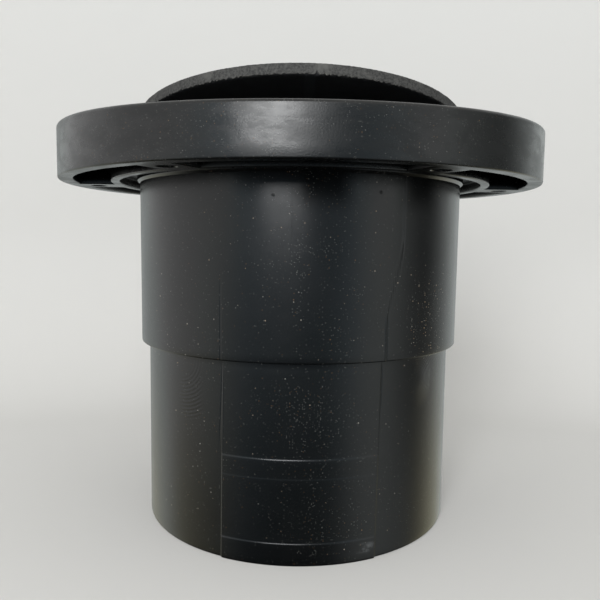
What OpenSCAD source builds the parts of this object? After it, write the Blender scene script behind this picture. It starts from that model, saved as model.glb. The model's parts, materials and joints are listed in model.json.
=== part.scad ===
// Toilet flange: a stepped drain spigot with a cup at its top, a swivelling floor ring held
// under that cup, and a flat rubber seal that stands tilted in the cup.
// The origin is the centre of the spigot's lower end, with +Z up and the spigot vertical.

/* [Spigot] */
// Outside diameter of the lower section, a 4 inch drain size
spigot_d = 114.3; // [110:0.1:114.3]
// Inside diameter of the drain way
drain_d = 102.3; // [96:0.1:103]
// Length of the lower section, from its end up to the step
lower_len = 65; // [40:1:80]
// Outside diameter of the upper section at the step
upper_d_low = 120; // [118:0.1:120.2]
// Outside diameter of the upper section under the ring
upper_d_high = 120.4; // [120:0.1:120.4]

/* [Floor ring] */
// Outside diameter of the ring, a nominal 7 inches
ring_d = 176; // [174:1:190]
// Height of the ring at its sides, from its floor face to the top of its crown
ring_h = 18; // [17:0.1:19]
// Drop of the crowned top face from the sides to the front and back
crown = 3.2; // [0.5:0.1:4]
// Height of the ring's floor face above the spigot's lower end
floor_z = 122.6; // [110:0.1:130]
// Width of the skirt's bottom face
skirt_t = 5; // [4:0.5:6]
// Thickness of the top plate at the front
plate_t = 4; // [3:0.5:5]
// Radius of the rounded outer corner at the top
corner_r = 2; // [1:0.5:3]
// Inside diameter of the well that takes the cup
well_d = 134.6; // [134.4:0.1:135]
// Thickness of the well's wall
well_wall = 3.1; // [2.5:0.1:3.5]
// Diameter of the spigot's bead, which keeps the ring on
bead_d = 122.4; // [122:0.1:123]

/* [Fixings] */
// Number of floor screw holes
screw_count = 6; // [4:2:8]
// Diameter of the circle of screw holes
screw_pcd = 155; // [153:0.5:156]
// Diameter of each screw hole
screw_d = 5.8; // [4.5:0.1:6.5]
// Diameter of the countersink at the top of each screw hole
sink_d = 10.6; // [9:0.1:11]
// Width of the block round each screw hole
boss_w = 12.6; // [12:0.1:14]
// Distance between the two closet bolts
bolt_spacing = 152.4; // [152:0.1:155]
// Width of the closet bolt slots
slot_w = 8.6; // [8:0.1:9]
// Angle that each slot's centre line covers
slot_sweep = 28; // [20:1:32]
// Diameter of the round entry at one end of each slot
entry_d = 12; // [11:0.1:12.4]

/* [Seal] */
// Outside diameter of the seal
seal_d = 121; // [118:0.5:121]
// Diameter of the hole in the seal
seal_hole_d = 84; // [70:1:90]
// Thickness of the seal
seal_t = 3.6; // [2:0.1:4]
// Angle that the front of the seal is raised by
seal_tilt = 9.2; // [0:0.1:10]

/* [Hidden] */
$fn = 128;

// Play between the ring and the spigot, and the lift of the seal over its seat
play = 0.3;
seal_lift = 0.2;
// How far one solid runs into the next, or a cut runs past a face
overlap = 1;
// Angle of the first screw hole from the front
first_screw = 31;

// Radii and heights of the ring
ring_r = ring_d / 2;
top_z = floor_z + ring_h;
front_z = top_z - crown;
crown_r = (pow(ring_r, 2) + pow(crown, 2)) / (2 * crown);
pocket_z = front_z - plate_t;
well_r = well_d / 2;
ledge_t = 2;
ledge_z = floor_z + 3.4;
ledge_top = ledge_z + ledge_t;
ledge_r = upper_d_high / 2 + 0.4;

// Cup at the top of the spigot: its floor bears on the ring's ledge
cup_r = well_r - 0.5;
cup_wall = 4.8;
cup_z = ledge_top + play;
seat_z = ledge_top + 3;
cup_top = front_z - play;

// Bead that keeps the ring on the spigot: a band under the ledge, with a sloped lower edge
bead_r = bead_d / 2;
bead_top = ledge_z - play;
bead_slope = 0.8;

// Height of the crowned top face at a distance y from the middle
function crown_z(y) = top_z - crown_r + sqrt(pow(crown_r, 2) - pow(y, 2));
// Angle of screw hole i, turned so that 0 is the front
function screw_angle(i) = first_screw + i * 360 / screw_count - 90;

// Solid of revolution from r_in to r_out, between two heights
module tube(r_out, r_in, z_low, z_high) {
    translate([0, 0, z_low])
        difference() {
            cylinder(r = r_out, h = z_high - z_low);
            translate([0, 0, -overlap])
                cylinder(r = r_in, h = z_high - z_low + 2 * overlap);
        }
}

// Stepped tube, the retaining bead and the cup, round one straight drain way
module spigot() {
    color([0.03, 0.03, 0.035])
        difference() {
            union() {
                cylinder(d = spigot_d, h = lower_len + overlap);
                translate([0, 0, lower_len])
                    cylinder(d1 = upper_d_low, d2 = upper_d_high, h = cup_z - lower_len);
                bead();
                cup();
            }
            translate([0, 0, -overlap])
                cylinder(d = drain_d, h = top_z + 2 * overlap);
        }
}

// Bead: the ring snaps over its lower slope and stays above its flat top
module bead() {
    translate([0, 0, floor_z])
        cylinder(r1 = upper_d_high / 2 - 0.2, r2 = bead_r, h = bead_slope);
    translate([0, 0, floor_z + bead_slope])
        cylinder(r = bead_r, h = bead_top - floor_z - bead_slope);
}

// Round cup with a flat seat for the seal
module cup() {
    translate([0, 0, cup_z])
        cylinder(r = cup_r, h = seat_z - cup_z);
    tube(cup_r, cup_r - cup_wall, seat_z - overlap, cup_top);
}

// Floor ring: skirt, crowned top plate, well and ledge in one piece
module floor_ring() {
    color([0.05, 0.05, 0.055])
        difference() {
            intersection() {
                union() {
                    rotate_extrude()
                        ring_profile();
                    for (i = [0 : screw_count - 1])
                        rotate(screw_angle(i))
                            screw_boss();
                }
                crowned_block();
            }
            for (i = [0 : screw_count - 1])
                rotate(screw_angle(i))
                    screw_hole(crown_z(screw_pcd / 2 * sin(screw_angle(i))));
            for (side = [0, 180])
                rotate(side)
                    bolt_slot();
        }
}

// Everything under the crown, a wide cylinder that lies from left to right
module crowned_block() {
    translate([-ring_r - overlap, 0, top_z - crown_r])
        rotate([0, 90, 0])
            cylinder(r = crown_r, h = ring_d + 2 * overlap, $fn = 720);
}

// Half section of the ring, with X as the radius and Y as the height
module ring_profile() {
    difference() {
        union() {
            translate([ring_r - skirt_t, floor_z])
                square([skirt_t, ring_h]);
            translate([well_r, pocket_z])
                square([ring_r - well_r, top_z - pocket_z]);
            translate([well_r, floor_z])
                square([well_wall, ring_h]);
            translate([ledge_r, ledge_z])
                square([well_r - ledge_r + overlap, ledge_t]);
        }
        difference() {
            translate([ring_r - corner_r, top_z - corner_r])
                square(corner_r + overlap);
            translate([ring_r - corner_r, top_z - corner_r])
                circle(r = corner_r);
        }
    }
}

// Block from the well's wall to the skirt, flush with the floor face
module screw_boss() {
    translate([well_r + overlap, -boss_w / 2, floor_z])
        cube([ring_r - skirt_t - well_r, boss_w, ring_h - overlap]);
}

// Floor screw hole with its countersink at the top face, which is at height face_z there
module screw_hole(face_z) {
    sink_h = (sink_d - screw_d) / 2;
    translate([screw_pcd / 2, 0, floor_z - overlap])
        cylinder(d = screw_d, h = ring_h + 2 * overlap);
    translate([screw_pcd / 2, 0, face_z - sink_h])
        cylinder(d1 = screw_d, d2 = sink_d, h = sink_h);
    translate([screw_pcd / 2, 0, face_z])
        cylinder(d = sink_d, h = overlap);
}

// Closet bolt slot along the bolt circle, with a wider entry at one end
module bolt_slot() {
    r = bolt_spacing / 2;
    cut_z = pocket_z - overlap;
    cut_h = top_z - pocket_z + 2 * overlap;
    translate([0, 0, cut_z]) {
        rotate(-90 - slot_sweep / 2)
            rotate_extrude(angle = slot_sweep)
                translate([r - slot_w / 2, 0])
                    square([slot_w, cut_h]);
        rotate(-90 - slot_sweep / 2)
            translate([r, 0, 0])
                cylinder(d = slot_w, h = cut_h);
        rotate(-90 + slot_sweep / 2)
            translate([r, 0, 0])
                cylinder(d = entry_d, h = cut_h);
    }
}

// Flat seal, turned about its back lower edge so that its front stands up
module seal() {
    hinge_y = seal_d / 2;
    color([0.09, 0.09, 0.09])
        translate([0, hinge_y, seat_z + seal_lift])
            rotate([-seal_tilt, 0, 0])
                translate([0, -hinge_y, 0])
                    tube(seal_d / 2, seal_hole_d / 2, 0, seal_t);
}

spigot();
floor_ring();
seal();
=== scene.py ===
import json
import math

import bmesh
import bpy
import numpy as np
from mathutils import Matrix, Vector, noise


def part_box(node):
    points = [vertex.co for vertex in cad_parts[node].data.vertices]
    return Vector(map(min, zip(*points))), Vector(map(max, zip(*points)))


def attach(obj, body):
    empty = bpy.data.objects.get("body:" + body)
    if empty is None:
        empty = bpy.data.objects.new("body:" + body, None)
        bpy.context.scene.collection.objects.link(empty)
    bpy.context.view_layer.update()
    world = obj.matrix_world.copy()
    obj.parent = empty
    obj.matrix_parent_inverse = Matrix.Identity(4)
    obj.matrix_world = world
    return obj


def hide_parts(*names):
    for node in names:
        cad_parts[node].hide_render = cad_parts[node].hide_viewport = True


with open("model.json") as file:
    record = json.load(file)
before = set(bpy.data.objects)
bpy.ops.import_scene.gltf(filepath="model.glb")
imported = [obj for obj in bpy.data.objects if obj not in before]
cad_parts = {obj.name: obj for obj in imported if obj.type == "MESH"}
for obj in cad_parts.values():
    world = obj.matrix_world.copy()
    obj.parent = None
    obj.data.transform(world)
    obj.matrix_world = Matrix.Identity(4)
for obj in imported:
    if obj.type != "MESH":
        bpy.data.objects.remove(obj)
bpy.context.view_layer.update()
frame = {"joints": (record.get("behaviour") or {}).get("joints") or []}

# Toilet flange: a stepped black spigot, a floor ring that swivels under its cup, and a rough
# rubber seal that stands tilted in the cup. Metres, with +Z up and the front at -Y.

MM = 0.001

# Heights and radii that the frame gives
ring_low, ring_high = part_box("floor_ring")
FLOOR_Z = ring_low.z
TOP_Z = ring_high.z
CROWN = 3.2 * MM
FRONT_Z = TOP_Z - CROWN
RING_R = round(ring_high.x, 4)
CUP_TOP_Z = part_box("spigot")[1].z
CUP_R = round(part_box("spigot")[1].x, 4)
JOINTS = {j["name"]: j for j in frame["joints"]}
HINGE = Vector(JOINTS["seal_tilt"]["pos_m"])
SEAL_TILT = math.radians(JOINTS["seal_tilt"]["range_deg"][1])

# Spigot
BORE_R = 51.15 * MM
LOWER_R = 57.15 * MM
UPPER_R_LOW = 60.0 * MM
UPPER_R_HIGH = 60.2 * MM
STEP_Z = 65 * MM
CUP_WALL = 4.8 * MM
CUP_Z = FLOOR_Z + 5.7 * MM
SEAT_Z = FLOOR_Z + 8.4 * MM
BEAD_R = 61.2 * MM
BEAD_TOP_Z = FLOOR_Z + 3.1 * MM
BEAD_SLOPE = 0.8 * MM

# Floor ring
SKIRT_IN_R = RING_R - 5 * MM
WELL_R = CUP_R + 0.5 * MM
RIB_OUT_R = WELL_R + 3.1 * MM
POCKET_Z = FRONT_Z - 4 * MM
LEDGE_Z = FLOOR_Z + 3.4 * MM
LEDGE_TOP_Z = LEDGE_Z + 2.0 * MM
LEDGE_R = 60.6 * MM
SCREW_R = 2.9 * MM
SINK_R = 5.3 * MM
SCREW_CIRCLE = 77.5 * MM
SCREW_COUNT = 6
# Degrees from the front to the first screw hole
FIRST_SCREW = 31
BOSS_W = 12.6 * MM
BOLT_CIRCLE = 76.2 * MM
SLOT_HALF = 4.3 * MM
SLOT_SWEEP = math.radians(28)
ENTRY_R = 6 * MM

# Seal
SEAL_R = HINGE.y
SEAL_HOLE_R = 42 * MM
SEAL_T = 3.6 * MM


# ---------------------------------------------------------------- mesh helpers

def rounded(corners, steps=5):
    """Closed outline of (radius, height) from corners (radius, height, fillet)."""
    outline = []
    count = len(corners)
    for i, (x, y, fillet) in enumerate(corners):
        here = Vector((x, y))
        before = Vector(corners[i - 1][:2])
        after = Vector(corners[(i + 1) % count][:2])
        a = (before - here).normalized()
        b = (after - here).normalized()
        half = a.angle(b) / 2
        if fillet == 0 or half < 0.01:
            outline.append(here)
            continue
        reach = fillet / math.tan(half)
        centre = here + (a + b).normalized() * (fillet / math.sin(half))
        start = here + a * reach - centre
        finish = here + b * reach - centre
        sweep = math.copysign(math.pi - 2 * half, start.to_3d().cross(finish.to_3d()).z)
        for k in range(steps + 1):
            outline.append(centre + Matrix.Rotation(sweep * k / steps, 2) @ start)
    return [(p.x, p.y) for p in outline]


def divided(outline, longest):
    """The closed outline with every edge cut so that none is longer than that."""
    result = []
    for i, p in enumerate(outline):
        q = outline[(i + 1) % len(outline)]
        pieces = max(1, math.ceil(math.dist(p, q) / longest))
        for k in range(pieces):
            t = k / pieces
            result.append((p[0] + (q[0] - p[0]) * t, p[1] + (q[1] - p[1]) * t))
    return result


def outline_normals(outline):
    """Unit normals that point out of a closed outline that runs anticlockwise."""
    p = np.array(outline)
    along = np.roll(p, -1, 0) - np.roll(p, 1, 0)
    normal = np.stack([along[:, 1], -along[:, 0]], 1)
    return normal / np.linalg.norm(normal, axis=1, keepdims=True)


def new_object(name, mesh):
    """Object in the scene's collection."""
    obj = bpy.data.objects.new(name, mesh)
    bpy.context.scene.collection.objects.link(obj)
    return obj


def smooth(mesh, sharp_angle=32):
    """Smooth shading, with sharp edges kept."""
    mesh.shade_smooth()
    mesh.set_sharp_from_angle(angle=math.radians(sharp_angle))


def lathe(name, outline, angles, relief=None):
    """Closed mesh: the outline turned about Z. Angle 0 is the front, and grows towards +X."""
    p = np.array(outline)
    normal = outline_normals(outline)
    angle = np.array(angles)[:, None]
    radius = np.broadcast_to(p[:, 0], (len(angles), len(p)))
    height = np.broadcast_to(p[:, 1], (len(angles), len(p)))
    if relief is not None:
        offset = relief(angle, radius, height, normal)
        radius = radius + offset * normal[:, 0]
        height = np.maximum(height + offset * normal[:, 1], p[:, 1].min())
    co = np.stack([radius * np.sin(angle), -radius * np.cos(angle), height], -1).reshape(-1, 3)
    rows, cols = len(angles), len(p)
    i, j = np.meshgrid(np.arange(rows), np.arange(cols), indexing="ij")
    i2, j2 = (i + 1) % rows, (j + 1) % cols
    quads = np.stack([i * cols + j, i2 * cols + j, i2 * cols + j2, i * cols + j2], -1).reshape(-1, 4)
    mesh = bpy.data.meshes.new(name)
    mesh.from_pydata(co.tolist(), [], quads.tolist())
    mesh.update()
    return new_object(name, mesh)


def even_angles(count):
    """That many angles, evenly round the whole circle."""
    return np.linspace(-math.pi, math.pi, count, endpoint=False)


def bump_at(x, centre, width):
    """Smooth bump of height 1 at centre, about width wide."""
    return np.exp(-((x - centre) / (width / 2)) ** 2)


def ledge_at(x, edge, width):
    """Goes smoothly from 1 below edge to 0 above it."""
    return 1 / (1 + np.exp(np.clip((x - edge) / (width / 4), -40, 40)))


# ---------------------------------------------------------------- spigot

# Width of the moulding lines, and of the slope at the edges of the raised panel
LINE_W = 0.4 * MM
EDGE_W = 0.36 * MM
# How far the panel stands out, and the ledges down it: the height of each and its step outwards
PANEL_H = 0.08 * MM
LEDGES = [(34.3 * MM, 0.14 * MM), (28.1 * MM, 0.04 * MM), (7.3 * MM, 0.18 * MM)]


def slanted_line(height):
    """Angle of the parting line on the right of the upper section: upright, slanted, upright."""
    t = np.clip((height - 76 * MM) / (28 * MM), 0, 1)
    return np.radians(27 + 5.4 * t * t * (3 - 2 * t))


def panel_left(height):
    """Angle of the raised panel's left edge."""
    return np.radians(-24.8 + 0.5 * height / STEP_Z)


def panel_right(height):
    """Angle of the raised panel's right edge."""
    return np.radians(26.5 + 1.1 * height / STEP_Z)


def left_curl(height):
    """Angle of the short curved line beside the panel's left edge, under the step."""
    t = np.clip((STEP_Z - height) / (28 * MM), 0, 1)
    return panel_left(height) - np.radians(1.1 * t)


def lower_relief(arc, height):
    """Marks on the lower section: the raised panel, its ledges and the lines beside it."""
    right = ledge_at(arc, panel_right(height) * LOWER_R, EDGE_W)
    left = ledge_at(-arc, -panel_left(height) * LOWER_R, EDGE_W)
    panel = PANEL_H
    for z, step in LEDGES:
        panel = panel + step * ledge_at(height, z, EDGE_W)
    left_edge = 0.08 * MM * bump_at(arc, panel_left(height) * LOWER_R, LINE_W)
    right_line = -0.10 * MM * bump_at(arc, (panel_right(height) + 0.006) * LOWER_R, LINE_W)
    right_line = right_line * ledge_at(-height, -(STEP_Z - 16 * MM), 6 * MM)
    curl = -0.08 * MM * bump_at(arc, left_curl(height) * LOWER_R, LINE_W)
    curl = curl * ledge_at(-height, -(STEP_Z - 26 * MM), 6 * MM)
    return right * left * panel + left_edge + right_line + curl


def upper_relief(arc, height):
    """Marks on the upper section: the slanted parting line and two short upright lines."""
    slant = 0.10 * MM * bump_at(arc, slanted_line(height) * LOWER_R, LINE_W)
    foot = -0.10 * MM * bump_at(arc, (slanted_line(height) + 0.009) * LOWER_R, LINE_W)
    left = -0.08 * MM * bump_at(arc, -math.radians(23.6) * LOWER_R, LINE_W)
    left = left * ledge_at(height, STEP_Z + 24 * MM, 10 * MM)
    short = 0.025 * MM * bump_at(arc, -math.radians(2.5) * LOWER_R, 0.7 * MM)
    short = short * ledge_at(-height, -(FLOOR_Z - 22 * MM), 8 * MM)
    return slant + foot + left + short


def spigot_relief(angle, radius, height, normal):
    """Moulding marks on the outside of both sections."""
    arc = angle * LOWER_R
    outside = normal[:, 0] > 0.5
    lower = (radius > BORE_R + 3 * MM) & (height < STEP_Z - 1 * MM) & outside
    upper = (radius > UPPER_R_LOW - 1 * MM) & (height > STEP_Z) & (height < FLOOR_Z) & outside
    return np.where(lower, lower_relief(arc, height), 0) + np.where(upper, upper_relief(arc, height), 0)


def spigot_angles():
    """Even steps, with fine ones where the relief has lines."""
    fine = math.radians(0.12)
    zones = [(math.radians(u), math.radians(v)) for u, v in ((-27, -22.5), (-3.6, -1.4), (25.3, 34))]
    angles = [a for a in even_angles(300) if not any(u <= a <= v for u, v in zones)]
    for u, v in zones:
        angles += list(np.arange(u, v, fine))
    return sorted(angles)


def spigot_outline():
    """Half section of the spigot, with extra points at the ledges of the lower section."""
    base = rounded([
        (BORE_R, 0, 0.6 * MM),
        (LOWER_R, 0, 0.7 * MM),
        (LOWER_R, STEP_Z, 0.3 * MM),
        (UPPER_R_LOW, STEP_Z, 0.5 * MM),
        (UPPER_R_HIGH, FLOOR_Z, 0),
        (BEAD_R, FLOOR_Z + BEAD_SLOPE, 0.4 * MM),
        (BEAD_R, BEAD_TOP_Z, 0.2 * MM),
        (UPPER_R_HIGH, BEAD_TOP_Z, 0.1 * MM),
        (UPPER_R_HIGH, CUP_Z, 0.3 * MM),
        (CUP_R, CUP_Z, 0.5 * MM),
        (CUP_R, CUP_TOP_Z, 0.6 * MM),
        (CUP_R - CUP_WALL, CUP_TOP_Z, 0.6 * MM),
        (CUP_R - CUP_WALL, SEAT_Z, 0.5 * MM),
        (BORE_R, SEAT_Z, 0.7 * MM),
    ])
    refined = []
    for ledge in LEDGES:
        refined += [ledge[0] + d * MM for d in (-0.5, -0.25, -0.12, 0, 0.12, 0.25, 0.5)]
    points = divided(base, 2.2 * MM)
    low = [p for p in points if abs(p[0] - LOWER_R) < 1e-6 and 1.2 * MM < p[1] < STEP_Z - 1 * MM]
    keep = [p for p in points if p not in low]
    at = next(i for i, p in enumerate(points) if p in low)
    heights = sorted(set(round(h, 6) for h in [p[1] for p in low] + refined))
    return keep[:at] + [(LOWER_R, h) for h in heights] + keep[at:]


def make_spigot():
    """The stepped tube with its bead and cup, in one piece."""
    obj = lathe("spigot_tube", spigot_outline(), spigot_angles(), spigot_relief)
    smooth(obj.data)
    return obj


# ---------------------------------------------------------------- floor ring

def ring_outline():
    """Half section of the ring without its crown."""
    return rounded([
        (SKIRT_IN_R, FLOOR_Z, 0.5 * MM),
        (RING_R, FLOOR_Z, 0.6 * MM),
        (RING_R, FRONT_Z, 1.2 * MM),
        (WELL_R, FRONT_Z, 0.5 * MM),
        (WELL_R, LEDGE_TOP_Z, 0.3 * MM),
        (LEDGE_R, LEDGE_TOP_Z, 0.3 * MM),
        (LEDGE_R, LEDGE_Z, 0.3 * MM),
        (WELL_R, LEDGE_Z, 0.4 * MM),
        (WELL_R, FLOOR_Z, 0.5 * MM),
        (RIB_OUT_R, FLOOR_Z, 0.5 * MM),
        (RIB_OUT_R, POCKET_Z, 0.8 * MM),
        (SKIRT_IN_R, POCKET_Z, 0.8 * MM),
    ])


def turned(obj, angle):
    """Turns the object's mesh about Z, from the front towards +X."""
    obj.data.transform(Matrix.Rotation(angle, 4, "Z"))
    return obj


def boss(angle):
    """Block round a screw hole, from the well's wall to the skirt."""
    mesh = bpy.data.meshes.new("boss")
    bm = bmesh.new()
    bmesh.ops.create_cube(bm, size=1)
    inner, outer = RIB_OUT_R - 0.9 * MM, SKIRT_IN_R + 1.0 * MM
    low, high = FLOOR_Z, POCKET_Z + 1 * MM
    size = (BOSS_W, outer - inner, high - low)
    bmesh.ops.scale(bm, vec=size, verts=bm.verts)
    bmesh.ops.translate(bm, vec=(0, -(inner + outer) / 2, (low + high) / 2), verts=bm.verts)
    lower_edges = [e for e in bm.edges if e.verts[0].co.z < low + 1e-6]
    long_edges = [e for e in lower_edges if abs(e.verts[0].co.y - e.verts[1].co.y) > size[1] / 2]
    bmesh.ops.bevel(bm, geom=long_edges, offset=0.5 * MM, segments=3, profile=0.5, affect="EDGES")
    bm.to_mesh(mesh)
    bm.free()
    return turned(new_object("boss", mesh), angle)


def screw_cutter(angle):
    """Turned shape of a countersunk screw hole."""
    lead = 0.3 * MM
    sink = SINK_R - SCREW_R
    profile = [
        (SCREW_R + lead + 1 * MM, FLOOR_Z - 1 * MM),
        (SCREW_R, FLOOR_Z + lead),
        (SCREW_R, FRONT_Z - sink),
        (SINK_R, FRONT_Z),
        (SINK_R + 1 * MM, FRONT_Z + 1 * MM),
    ]
    count = 40
    bm = bmesh.new()
    rings = []
    for r, z in profile:
        ring = []
        for k in range(count):
            a = 2 * math.pi * k / count
            ring.append(bm.verts.new((r * math.cos(a), -SCREW_CIRCLE + r * math.sin(a), z)))
        rings.append(ring)
    bridge(bm, rings)
    mesh = bpy.data.meshes.new("screw_cutter")
    bm.to_mesh(mesh)
    bm.free()
    return turned(new_object("screw_cutter", mesh), angle)


def bridge(bm, rings):
    """Closes stacked loops of vertices into a solid."""
    count = len(rings[0])
    for low, high in zip(rings, rings[1:]):
        for k in range(count):
            bm.faces.new((low[k], low[(k + 1) % count], high[(k + 1) % count], high[k]))
    bm.faces.new(list(reversed(rings[0])))
    bm.faces.new(rings[-1])
    bmesh.ops.recalc_face_normals(bm, faces=bm.faces)


def slot_loop(grow):
    """Points round a bolt slot at the front: an arc with a round end and a wider entry."""
    half = SLOT_HALF + grow
    entry = ENTRY_R + grow
    end = SLOT_SWEEP / 2
    points = []
    steps = 16

    def polar(radius, angle):
        return Vector((radius * math.sin(angle), -radius * math.cos(angle)))

    spread = math.asin(half / entry)
    back = entry * math.cos(spread)
    reach = end - math.atan(back / BOLT_CIRCLE)
    for k in range(steps + 1):
        points.append(polar(BOLT_CIRCLE + half, -end + (reach + end) * k / steps))
    centre = polar(BOLT_CIRCLE, end)
    start = points[-1] - centre
    finish = polar(BOLT_CIRCLE - half, reach) - centre
    sweep = 2 * math.pi - start.angle(finish)
    for k in range(1, 2 * steps):
        points.append(centre + Matrix.Rotation(sweep * k / (2 * steps), 2) @ start)
    for k in range(steps + 1):
        points.append(polar(BOLT_CIRCLE - half, reach - (reach + end) * k / steps))
    centre = polar(BOLT_CIRCLE, -end)
    start = points[-1] - centre
    for k in range(1, steps):
        points.append(centre + Matrix.Rotation(math.pi * k / steps, 2) @ start)
    return points


def slot_cutter(angle):
    """Slot through the top plate, with a small chamfer at its top edge."""
    chamfer = 0.4 * MM
    levels = [(0, POCKET_Z - 1 * MM), (0, FRONT_Z - chamfer)]
    levels += [(chamfer, FRONT_Z), (chamfer + 1 * MM, FRONT_Z + 1 * MM)]
    bm = bmesh.new()
    rings = [[bm.verts.new((p.x, p.y, z)) for p in slot_loop(grow)] for grow, z in levels]
    bridge(bm, rings)
    mesh = bpy.data.meshes.new("slot_cutter")
    bm.to_mesh(mesh)
    bm.free()
    return turned(new_object("slot_cutter", mesh), angle)


def combine(obj, others, operation):
    """Boolean of obj with each of the others, which are then removed."""
    for other in others:
        modifier = obj.modifiers.new(operation, "BOOLEAN")
        modifier.operation = operation
        modifier.object = other
        modifier.solver = "MANIFOLD"
    graph = bpy.context.evaluated_depsgraph_get()
    mesh = bpy.data.meshes.new_from_object(obj.evaluated_get(graph))
    obj.modifiers.clear()
    obj.data = mesh
    for other in others:
        bpy.data.objects.remove(other)


def crown(mesh):
    """Lifts the flat top into a crown that is low at the front and back and high at the sides."""
    radius = (RING_R ** 2 + CROWN ** 2) / (2 * CROWN)
    for v in mesh.vertices:
        lift = math.sqrt(radius ** 2 - v.co.y ** 2) - radius + CROWN
        share = (v.co.z - POCKET_Z) / (FRONT_Z - 2.6 * MM - POCKET_Z)
        v.co.z += lift * min(1.0, max(0.0, share))


def make_ring():
    """The floor ring with its screw bosses, screw holes and bolt slots."""
    obj = lathe("floor_ring_body", divided(ring_outline(), 4 * MM), even_angles(288))
    screws = [math.radians(FIRST_SCREW + 360 * i / SCREW_COUNT) for i in range(SCREW_COUNT)]
    combine(obj, [boss(a) for a in screws], "UNION")
    cutters = [screw_cutter(a) for a in screws] + [slot_cutter(a) for a in (0, math.pi)]
    combine(obj, cutters, "DIFFERENCE")
    crown(obj.data)
    smooth(obj.data)
    return obj


# ---------------------------------------------------------------- seal

# Angle of the split in the seal's edge
SPLIT = math.radians(4.5)


def seal_relief(angle, radius, height, normal):
    """Cut rubber: a granular edge with a split in it, and a softer top and underside."""
    offset = np.zeros(np.broadcast_shapes(angle.shape, radius.shape))
    for i, a in enumerate(angle[:, 0]):
        split = 0.35 * MM * math.exp(-((a - SPLIT - 0.002 * math.sin(i)) / math.radians(0.30)) ** 2)
        for j in range(radius.shape[1]):
            r, z = radius[i, j], height[i, j]
            p = Vector((r * math.sin(a), -r * math.cos(a), z))
            outer = max(0.0, normal[j, 0])
            grain = (0.03 + 0.09 * outer) * noise.noise(p * 1900)
            grain += 0.07 * outer * noise.noise(p * 420 + Vector((7, 0, 0)))
            offset[i, j] = MM * grain - outer * split
    return offset


def make_seal():
    """The flat rubber ring, made level and then tilted up about its hinge."""
    corners = [
        (SEAL_HOLE_R, 0, 0.3 * MM),
        (SEAL_R - 0.42 * MM, 0, 0),
        (SEAL_R, 0, 0.06 * MM),
        (SEAL_R, SEAL_T, 0.35 * MM),
        (SEAL_HOLE_R, SEAL_T, 0.3 * MM),
    ]
    outline = divided(rounded(corners, 3), 0.7 * MM)
    outline = [(r - 0.12 * MM if r > SEAL_R - 0.6 * MM else r, z) for r, z in outline]
    obj = lathe("rubber_seal", outline, even_angles(840), seal_relief)
    rag(obj.data)
    to_hinge = Matrix.Translation((0, -HINGE.y, 0))
    obj.data.transform(Matrix.Translation(HINGE) @ Matrix.Rotation(-SEAL_TILT, 4, "X") @ to_hinge)
    smooth(obj.data, 50)
    return obj


def rag(mesh):
    """Tears at the seal's lower outer corner, and marks for its cut edge and for its burrs, which get a
    painted highlight.
    """
    edge = mesh.attributes.new("cut", "FLOAT", "POINT")
    burr = mesh.attributes.new("burr", "FLOAT", "POINT")
    for v in mesh.vertices:
        r = math.hypot(v.co.x, v.co.y)
        a = math.atan2(v.co.x, -v.co.y)
        edge.data[v.index].value = min(1.0, max(0.0, (r - SEAL_R + 0.44 * MM) / (0.12 * MM)))
        near = max(0.0, 1 - (SEAL_R - r) / (0.8 * MM)) * max(0.0, 1 - v.co.z / (1.5 * MM))
        if near <= 0:
            continue
        tear = noise.noise(Vector((a * 75, 0, 1))) + 0.9 * noise.noise(Vector((a * 210, 5, 1)))
        lift = min(1.2, max(-0.1, 0.30 + 0.95 * tear)) * 0.9 * MM
        deep = 1.1 * MM * math.exp(-((a - SPLIT) / math.radians(0.5)) ** 2)
        v.co.z += near * (lift + deep)
        burr.data[v.index].value = near


# ---------------------------------------------------------------- materials

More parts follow.
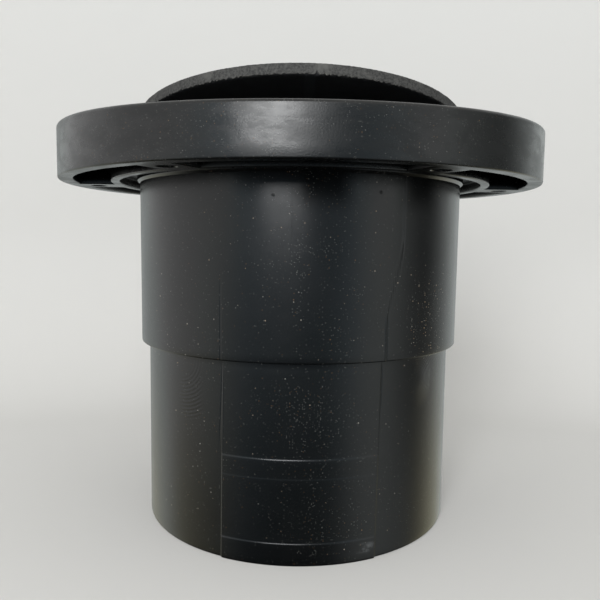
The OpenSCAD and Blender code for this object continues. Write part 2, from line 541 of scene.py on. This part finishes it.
class Nodes:
    """Short calls for a material's node tree."""

    def __init__(self, owner):
        self.owner = owner
        owner.use_nodes = True
        self.tree = owner.node_tree
        self.tree.nodes.clear()

    def add(self, kind, settings=None, **inputs):
        """New node. An input is named after its socket, or is i and the socket's number."""
        node = self.tree.nodes.new(kind)
        for key, value in (settings or {}).items():
            setattr(node, key, value)
        for key, value in inputs.items():
            self.put(node, key.replace("_", " "), value)
        return node

    def put(self, node, key, value):
        """Links a socket to the input, or sets the input to a number or colour."""
        numbered = key[0] == "i" and key[1:].isdigit()
        socket = node.inputs[int(key[1:]) if numbered else key]
        if isinstance(value, bpy.types.NodeSocket):
            self.tree.links.new(value, socket)
        else:
            socket.default_value = value

    def math(self, operation, a, b=0.0):
        return self.add("ShaderNodeMath", {"operation": operation}, i0=a, i1=b).outputs[0]

    def plus(self, a, b):
        return self.math("ADD", a, b)

    def times(self, a, b):
        return self.math("MULTIPLY", a, b)

    def dimmed(self, value, mask, share):
        """The value, with that share of it taken off where the mask is 1."""
        return self.times(value, self.math("SUBTRACT", 1.0, self.times(mask, share)))

    def mix(self, factor, a, b):
        return self.add("ShaderNodeMix", {"data_type": "RGBA"}, i0=factor, i6=a, i7=b).outputs[2]

    def ramp(self, value, low, high):
        """0 below low, 1 above high, smooth between."""
        settings = {"interpolation_type": "SMOOTHSTEP"}
        return self.add("ShaderNodeMapRange", settings, i0=value, i1=low, i2=high).outputs[0]

    def place(self):
        """Place on the object, in metres in the shared frame."""
        return self.add("ShaderNodeTexCoord").outputs["Object"]

    def noise(self, vector, scale, detail=3.0, rough=0.5):
        node = self.add("ShaderNodeTexNoise", i0=vector, Scale=scale, Detail=detail, Roughness=rough)
        return node.outputs["Fac"]

    def bump(self, height, distance, strength=1.0, normal=None):
        node = self.add("ShaderNodeBump", Height=height, Distance=distance, Strength=strength)
        if normal is not None:
            self.put(node, "Normal", normal)
        return node.outputs[0]

    def finish(self, **inputs):
        """Principled shader with these inputs, joined to the output."""
        shader = self.add("ShaderNodeBsdfPrincipled", **inputs)
        out = self.add("ShaderNodeOutputMaterial")
        self.tree.links.new(shader.outputs[0], out.inputs[0])
        return self.owner


def material_nodes(name):
    """Nodes of a new, empty material."""
    return Nodes(bpy.data.materials.new(name))


def rgb(r, g, b):
    """Colour for a socket."""
    return (r, g, b, 1.0)


def dust(n, place, scale, share, size, cloud):
    """Mask of small specks, gathered in clouds, and a random number for each."""
    cells = n.add("ShaderNodeTexVoronoi", i0=place, Scale=scale)
    pick = n.add("ShaderNodeSeparateColor", i0=cells.outputs["Color"])
    chance = n.plus(n.times(cloud, share), share * 0.05)
    chosen = n.math("LESS_THAN", pick.outputs[0], chance)
    reach = n.times(n.plus(pick.outputs[1], 0.35), size)
    dot = n.math("LESS_THAN", cells.outputs["Distance"], reach)
    return n.times(chosen, dot), pick.outputs[2]


# Specks from fine to coarse: cells per metre, share of the cells that hold one, its size within
# the cell and how much it covers
SPECKS = [(2100.0, 0.50, 0.22, 0.20), (1250.0, 0.32, 0.14, 0.32), (380.0, 0.09, 0.058, 0.75)]
PALE_DUST = rgb(0.30, 0.30, 0.28)


def dusty(n, place, base, cloud):
    """The base colour with pale and a few orange-brown specks over it."""
    colour = base
    for scale, share, size, strength in SPECKS:
        mask, pick = dust(n, place, scale, share, size, cloud)
        tint = n.mix(n.math("GREATER_THAN", pick, 0.86), PALE_DUST, rgb(0.35, 0.19, 0.08))
        colour = n.mix(n.times(mask, strength), colour, tint)
    return colour


def between(n, value, low, high, soft):
    """1 between low and high, with soft ends."""
    rise = n.ramp(value, low - soft, low + soft)
    return n.times(rise, n.ramp(value, high + soft, high - soft))


def tube_place(n, place):
    """Length round the front of the tube from its middle, and height."""
    axis = n.add("ShaderNodeSeparateXYZ", i0=place)
    angle = n.math("ARCTAN2", axis.outputs[0], n.times(axis.outputs[1], -1.0))
    return n.times(angle, LOWER_R), axis.outputs[2]


def distance_from(n, across, height, mark):
    """Distance over the tube's surface from a mark, which is (degrees from the front, height)."""
    dx = n.math("SUBTRACT", across, math.radians(mark[0]) * LOWER_R)
    dz = n.math("SUBTRACT", height, mark[1])
    return n.math("SQRT", n.plus(n.times(dx, dx), n.times(dz, dz)))


# Ejector dots on the upper section, and the centres that the ripples under the step run round
DOTS = [(-7.5, 115.8 * MM), (24, 117.1 * MM)]
RIPPLES_LEFT = (-42, 63.6 * MM)
RIPPLES_RIGHT = (44, 56.8 * MM)


def ripples(n, across, height, centre, reach, spacing):
    """Curved ripple marks on the right of a centre, under the step, as height from -1 to 1."""
    far = distance_from(n, across, height, centre)
    wave = n.math("SINE", n.times(far, 2 * math.pi / spacing))
    start = math.radians(centre[0]) * LOWER_R
    mask = between(n, far, reach[0], reach[1], 2 * MM)
    mask = n.times(mask, between(n, across, start - 1 * MM, start + 9 * MM, 1.5 * MM))
    return n.times(wave, n.times(mask, n.ramp(height, STEP_Z, STEP_Z - 1 * MM)))


def tube_colour(n, place, across, height):
    """Black with faint flow marks, and a painted highlight near the lower end on the right: a pale patch
    that stands in for a glint.
    """
    tone = n.ramp(n.noise(place, 14.0, 4.0), 0.3, 0.7)
    base = n.mix(tone, rgb(0.0013, 0.0016, 0.0018), rgb(0.0026, 0.0029, 0.0029))
    # Painted highlight: a pale patch for a glint under the lowest ledge on the right
    painted_glint = between(n, across, 20.5 * MM, 25 * MM, 1.6 * MM)
    painted_glint = n.times(painted_glint, between(n, height, 3.2 * MM, 5.6 * MM, 0.9 * MM))
    painted_glint = n.times(painted_glint, n.ramp(n.noise(place, 420.0, 3.0), 0.3, 0.7))
    return n.mix(painted_glint, base, rgb(0.11, 0.115, 0.12))


def dusty_tube(n, place, across, height, base):
    """Dust, mostly down the middle, with a thicker patch on the right above the step."""
    cloud = n.ramp(n.noise(place, 34.0, 4.0, 0.6), 0.22, 0.80)
    middle = between(n, across, -13 * MM, 22 * MM, 12 * MM)
    cloud = n.times(cloud, n.plus(n.times(middle, 0.70), 0.35))
    side = between(n, across, 36 * MM, 56 * MM, 5 * MM)
    side = n.times(side, between(n, height, 66 * MM, 90 * MM, 9 * MM))
    colour = dusty(n, place, base, n.math("MAXIMUM", cloud, n.times(side, 0.8)))
    specks, pick = dust(n, place, 1300.0, 0.40, 0.20, side)
    return n.mix(n.times(specks, 0.6), colour, n.mix(pick, PALE_DUST, rgb(0.34, 0.24, 0.15)))


def tube_gloss(n, across, height, dots):
    """Specular level: lowered as painted shade in bands under the flange, just below its edge and round
    the foot, and lower in the dots.
    """
    # Painted shade: bands of lower gloss for the flange's shadow on the tube
    flange_shadow_bands = n.plus(between(n, across, -1 * MM, 14 * MM, 4 * MM),
                   between(n, across, 33 * MM, 46 * MM, 5 * MM))
    flange_shadow_bands = n.times(flange_shadow_bands, n.ramp(height, 109 * MM, 118.5 * MM))
    # Painted shade that fades the highlight just under the flange
    flange_edge_shade = n.times(between(n, across, -18 * MM, 0, 4 * MM), n.ramp(height, 114 * MM, 121 * MM))
    # Painted shade: lower gloss round the foot
    foot = n.times(between(n, across, -20 * MM, 12 * MM, 5 * MM), n.ramp(height, 9 * MM, 7 * MM))
    gloss = n.math("SUBTRACT", 0.5, n.times(flange_shadow_bands, 0.41))
    gloss = n.dimmed(gloss, flange_edge_shade, 0.5)
    gloss = n.dimmed(gloss, foot, 0.35)
    return n.dimmed(gloss, dots, 0.55)


def tube_normal(n, place, across, height, dots):
    """Broad waves, the two sets of ripples, the dots and a fine grain."""
    left = ripples(n, across, height, RIPPLES_LEFT, (6 * MM, 20 * MM), 1.2 * MM)
    right = ripples(n, across, height, RIPPLES_RIGHT, (2.5 * MM, 9.5 * MM), 0.85 * MM)
    normal = n.bump(n.noise(place, 55.0, 2.0), 0.25 * MM, 0.35)
    normal = n.bump(left, 0.012 * MM, 1.0, normal)
    normal = n.bump(right, 0.03 * MM, 1.0, normal)
    normal = n.bump(dots, 0.02 * MM, 1.0, normal)
    return n.bump(n.noise(place, 2600.0, 2.0), 0.012 * MM, 0.5, normal)


def spigot_plastic():
    """Glossy black moulded plastic, dusty and marked at the front, with a painted highlight near the foot
    and painted shade under the flange and round the foot.
    """
    n = material_nodes("spigot_plastic")
    place = n.place()
    across, height = tube_place(n, place)
    dots = n.plus(*[n.ramp(distance_from(n, across, height, d), 0.65 * MM, 0.35 * MM) for d in DOTS])
    base = dusty_tube(n, place, across, height, tube_colour(n, place, across, height))
    rough = n.plus(n.times(n.noise(place, 60.0, 5.0, 0.65), 0.14), 0.17)
    gloss = tube_gloss(n, across, height, dots)
    normal = tube_normal(n, place, across, height, dots)
    return n.finish(Base_Color=base, Roughness=rough, Specular_IOR_Level=gloss, Normal=normal)


def recess_shade_mask(n, place):
    """Mask of the ring's underside and well, between the skirt and the spigot, where shade is painted."""
    axis = n.add("ShaderNodeSeparateXYZ", i0=place)
    radius = n.math("SQRT", n.plus(n.times(axis.outputs[0], axis.outputs[0]),
                                   n.times(axis.outputs[1], axis.outputs[1])))
    inside = n.times(n.ramp(radius, SKIRT_IN_R + 1 * MM, SKIRT_IN_R + 0.2 * MM),
                     n.ramp(axis.outputs[2], FLOOR_Z + 0.5 * MM, FLOOR_Z + 2 * MM))
    return n.times(inside, n.ramp(axis.outputs[2], FRONT_Z - 0.5 * MM, FRONT_Z - 1.5 * MM))


def ring_plastic():
    """Satin black moulding: an orange-peel skin with smudges, and painted shade in its recesses, darker
    and duller there.
    """
    n = material_nodes("ring_plastic")
    place = n.place()
    painted_recess_shade = recess_shade_mask(n, place)
    tone = n.ramp(n.noise(place, 18.0, 4.0), 0.3, 0.7)
    base = n.mix(tone, rgb(0.0018, 0.0021, 0.0023), rgb(0.0034, 0.0037, 0.0037))
    cloud = n.ramp(n.noise(place, 30.0, 4.0, 0.6), 0.46, 0.68)
    # Painted shade: the recesses get a near-black colour
    base = n.mix(painted_recess_shade, dusty(n, place, base, cloud), rgb(0.0010, 0.0010, 0.0010))
    flat = n.add("ShaderNodeMapping", i0=place, Scale=(1.0, 1.0, 2.6)).outputs[0]
    smudge = n.ramp(n.noise(flat, 95.0, 5.0, 0.62), 0.35, 0.65)
    rough = n.plus(n.times(smudge, -0.10), 0.33)
    # Painted shade: the gloss is cut in the recesses
    gloss = n.dimmed(n.plus(n.times(smudge, 0.09), 0.44), painted_recess_shade, 0.90)
    normal = n.bump(n.noise(place, 70.0, 2.0), 0.3 * MM, 0.35)
    normal = n.bump(n.noise(place, 1900.0, 2.0), 0.035 * MM, 0.6, normal)
    return n.finish(Base_Color=base, Roughness=rough, Specular_IOR_Level=gloss, Normal=normal)


def seal_edge(n, place, grain):
    """Granular grey cut rubber with lighter blotches, and a painted highlight on the burrs along the torn
    edge.
    """
    edge = n.mix(n.ramp(grain, 0.35, 0.65), rgb(0.017, 0.017, 0.017), rgb(0.058, 0.058, 0.055))
    blotch = n.ramp(n.noise(place, 160.0, 4.0, 0.6), 0.50, 0.78)
    edge = n.mix(blotch, edge, rgb(0.076, 0.076, 0.071))
    burr = n.add("ShaderNodeAttribute", {"attribute_name": "burr"}).outputs["Fac"]
    # Painted highlight: pale colour on the burrs along the torn edge
    pale = n.times(n.ramp(burr, 0.75, 1.0), n.ramp(n.noise(place, 700.0, 2.0), 0.48, 0.6))
    return n.mix(pale, edge, rgb(0.20, 0.195, 0.17))


def seal_face(n, place):
    """Darker, smoother rubber, with a paler strip across the front of the underside."""
    axis = n.add("ShaderNodeSeparateXYZ", i0=place)
    upward = n.add("ShaderNodeSeparateXYZ", i0=n.add("ShaderNodeTexCoord").outputs["Normal"]).outputs[2]
    strip = n.times(between(n, axis.outputs[0], 0.9 * MM, 4.2 * MM, 0.4 * MM), n.ramp(upward, 0.0, -0.3))
    strip = n.times(strip, n.ramp(axis.outputs[1], 0.0, -20 * MM))
    tone = n.times(n.noise(place, 300.0, 3.0), 0.8)
    face = n.mix(tone, rgb(0.0165, 0.0173, 0.0192), rgb(0.0390, 0.0402, 0.0430))
    return n.mix(n.times(strip, 0.6), face, rgb(0.042, 0.045, 0.050))


def seal_rubber():
    """Grey-black rubber: a granular cut edge, and smoother, darker faces."""
    n = material_nodes("seal_rubber")
    place = n.place()
    grain = n.noise(place, 1400.0, 4.0, 0.7)
    cut = n.add("ShaderNodeAttribute", {"attribute_name": "cut"}).outputs["Fac"]
    base = n.mix(cut, seal_face(n, place), seal_edge(n, place, grain))
    gloss = n.plus(n.times(cut, 0.2), 0.25)
    normal = n.bump(grain, 0.12 * MM, 0.9)
    return n.finish(Base_Color=base, Roughness=0.80, Specular_IOR_Level=gloss, Normal=normal)


def paper():
    """Matt pale paper that shows only from its front, so that a view from below looks through."""
    n = material_nodes("paper")
    tone = n.noise(n.place(), 3.0, 2.0)
    colour = n.mix(tone, rgb(0.615, 0.610, 0.596), rgb(0.635, 0.630, 0.616))
    front = n.add("ShaderNodeBsdfDiffuse", Color=colour)
    behind = n.add("ShaderNodeBsdfTransparent")
    side = n.add("ShaderNodeNewGeometry").outputs["Backfacing"]
    both = n.add("ShaderNodeMixShader", i0=side, i1=front.outputs[0], i2=behind.outputs[0])
    n.add("ShaderNodeOutputMaterial", i0=both.outputs[0])
    return n.owner


def paint(obj, material):
    """Gives the whole object one material."""
    obj.data.materials.clear()
    obj.data.materials.append(material)


# ---------------------------------------------------------------- the pieces

spigot = make_spigot()
paint(spigot, spigot_plastic())
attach(spigot, "hub")
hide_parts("spigot")

ring = make_ring()
paint(ring, ring_plastic())
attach(ring, "ring")
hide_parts("floor_ring")

seal = make_seal()
paint(seal, seal_rubber())
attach(seal, "seal")
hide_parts("seal")


# ---------------------------------------------------------------- stage, light and camera

def make_stage():
    """Round pale floor that curves up into a wall on every side, nearest behind the object."""
    # Radius of the floor and of the bend, height of the wall, and how far it all stands forward
    flat, bend, wall, shift = 0.50, 0.12, 0.32, 0.38
    outline = [(0.0, 0.0), (flat / 2, 0.0), (flat, 0.0)]
    steps = 14
    for k in range(1, steps + 1):
        a = math.pi / 2 * k / steps
        outline.append((flat + bend * math.sin(a), bend * (1 - math.cos(a))))
    outline.append((flat + bend, bend + wall))
    rows = 128
    verts, faces = [], []
    for i in range(rows):
        a = 2 * math.pi * i / rows
        verts += [(r * math.cos(a), r * math.sin(a) - shift, z) for r, z in outline]
    cols = len(outline)
    for i in range(rows):
        i2 = (i + 1) % rows
        for j in range(cols - 1):
            faces.append((i * cols + j, i * cols + j + 1, i2 * cols + j + 1, i2 * cols + j))
    mesh = bpy.data.meshes.new("sweep")
    mesh.from_pydata(verts, [], faces)
    mesh.validate()
    mesh.shade_smooth()
    obj = new_object("sweep", mesh)
    paint(obj, paper())
    obj.visible_glossy = False


def soft_light(name, place, target, width, height, power):
    """Rectangular area light that shines from a place towards a target."""
    data = bpy.data.lights.new(name, "AREA")
    data.shape = "RECTANGLE"
    data.size = width
    data.size_y = height
    data.energy = power
    obj = bpy.data.objects.new(name, data)
    bpy.context.scene.collection.objects.link(obj)
    obj.location = place
    obj.rotation_euler = (Vector(target) - Vector(place)).to_track_quat("-Z", "Y").to_euler()
    obj.visible_camera = False


# Tints of the room's light
TINTS = {"cool": (0.80, 1.0, 1.14), "pale": (0.94, 1.0, 0.98), "warm": (1.05, 1.0, 0.72)}
# What the gloss reflects, by compass angle in degrees from the front towards +X: the brightness
# low down, just under the horizon and above it, and the tint low down and higher up
ROOM = [
    (-180, 0.55, 0.55, 0.60, "pale", "pale"), (-168, 0.55, 0.55, 0.60, "pale", "pale"),
    (-156, 0.58, 0.56, 0.58, "pale", "pale"), (-140, 0.66, 0.66, 0.58, "warm", "pale"),
    (-116, 1.00, 1.05, 1.55, "pale", "pale"), (-100, 0.66, 1.22, 1.85, "warm", "pale"),
    (-84, 0.48, 1.15, 1.55, "warm", "pale"), (-68, 0.34, 1.00, 1.55, "warm", "pale"),
    (-52, 0.24, 0.72, 1.20, "pale", "pale"), (-38, 0.14, 0.45, 0.80, "cool", "cool"),
    (-20, 0.05, 0.30, 0.55, "cool", "cool"), (0, 0.03, 0.28, 0.55, "cool", "cool"),
    (16, 0.03, 0.26, 0.38, "cool", "cool"), (26, 0.10, 0.36, 0.36, "cool", "cool"),
    (36, 0.32, 0.60, 0.58, "pale", "cool"), (50, 0.76, 0.92, 1.15, "pale", "pale"),
    (64, 0.66, 0.86, 1.10, "pale", "pale"), (76, 0.50, 0.50, 0.62, "pale", "pale"),
    (90, 0.34, 0.12, 0.16, "pale", "pale"), (102, 0.36, 0.15, 0.12, "warm", "pale"),
    (116, 0.74, 0.56, 0.55, "warm", "pale"), (132, 0.90, 0.92, 1.05, "warm", "pale"),
    (150, 0.80, 0.75, 0.70, "pale", "pale"), (160, 0.60, 0.60, 0.62, "pale", "pale"),
    (168, 0.55, 0.55, 0.60, "pale", "pale"), (180, 0.55, 0.55, 0.60, "pale", "pale"),
]


def colour_ramp(n, value, stops):
    """Stops are (place from 0 to 1, colour)."""
    node = n.add("ShaderNodeValToRGB", {}, i0=value)
    ramp = node.color_ramp
    ramp.interpolation = "B_SPLINE"
    while len(ramp.elements) < len(stops):
        ramp.elements.new(0.5)
    for element, (at, colour) in zip(ramp.elements, stops):
        element.position = at
        element.color = (*colour, 1.0)
    return node.outputs[0]


def make_world():
    """A soft room from the rows above: pale overhead, dark far below and low down in front."""
    world = bpy.data.worlds.new("room")
    n = Nodes(world)
    direction = n.add("ShaderNodeTexCoord").outputs["Generated"]
    axis = n.add("ShaderNodeSeparateXYZ", i0=direction)
    compass = n.math("ARCTAN2", axis.outputs[0], n.times(axis.outputs[1], -1.0))
    compass = n.plus(n.math("DIVIDE", compass, 2 * math.pi), 0.5)
    rise = n.times(n.math("ARCSINE", axis.outputs[2]), 180 / math.pi)
    levels = []
    for level, tint in ((1, 4), (2, 5), (3, 5)):
        stops = [((row[0] + 180) / 360, [row[level] * t for t in TINTS[row[tint]]]) for row in ROOM]
        levels.append(colour_ramp(n, compass, stops))
    colour = n.mix(n.ramp(rise, -27.0, -7.0), levels[0], levels[1])
    colour = n.mix(n.ramp(rise, -8.0, 9.0), colour, levels[2])
    colour = n.mix(n.ramp(rise, 14.0, 50.0), colour, rgb(0.84, 0.84, 0.82))
    colour = n.mix(n.ramp(rise, -50.0, -28.0), rgb(0.03, 0.03, 0.03), colour)
    background = n.add("ShaderNodeBackground", i0=colour, i1=1.0)
    n.add("ShaderNodeOutputWorld", i0=background.outputs[0])
    bpy.context.scene.world = world


def make_camera():
    """In front, a little above the middle of the object, pitched slightly down."""
    distance = 2.808 * RING_R
    height = 1.159 * RING_R
    pitch = math.radians(5.29)
    roll = 0.0124
    data = bpy.data.cameras.new("camera")
    data.sensor_width = 36
    data.lens = 37.74
    data.shift_x = 0.0022
    data.clip_start = 0.01
    obj = bpy.data.objects.new("camera", data)
    bpy.context.scene.collection.objects.link(obj)
    turn = Matrix.Rotation(math.pi / 2 - pitch, 4, "X") @ Matrix.Rotation(roll, 4, "Z")
    obj.matrix_world = Matrix.Translation((0, -distance, height)) @ turn
    bpy.context.scene.camera = obj


make_stage()
make_world()
make_camera()
# A tall window in front, above and a little to the left
soft_light("window", place=(-0.135, -0.76, 0.48), target=(0, 0, 0.38), width=0.36, height=0.56, power=6.4)

bpy.context.scene.view_settings.view_transform = "Standard"
bpy.context.scene.view_settings.look = "None"
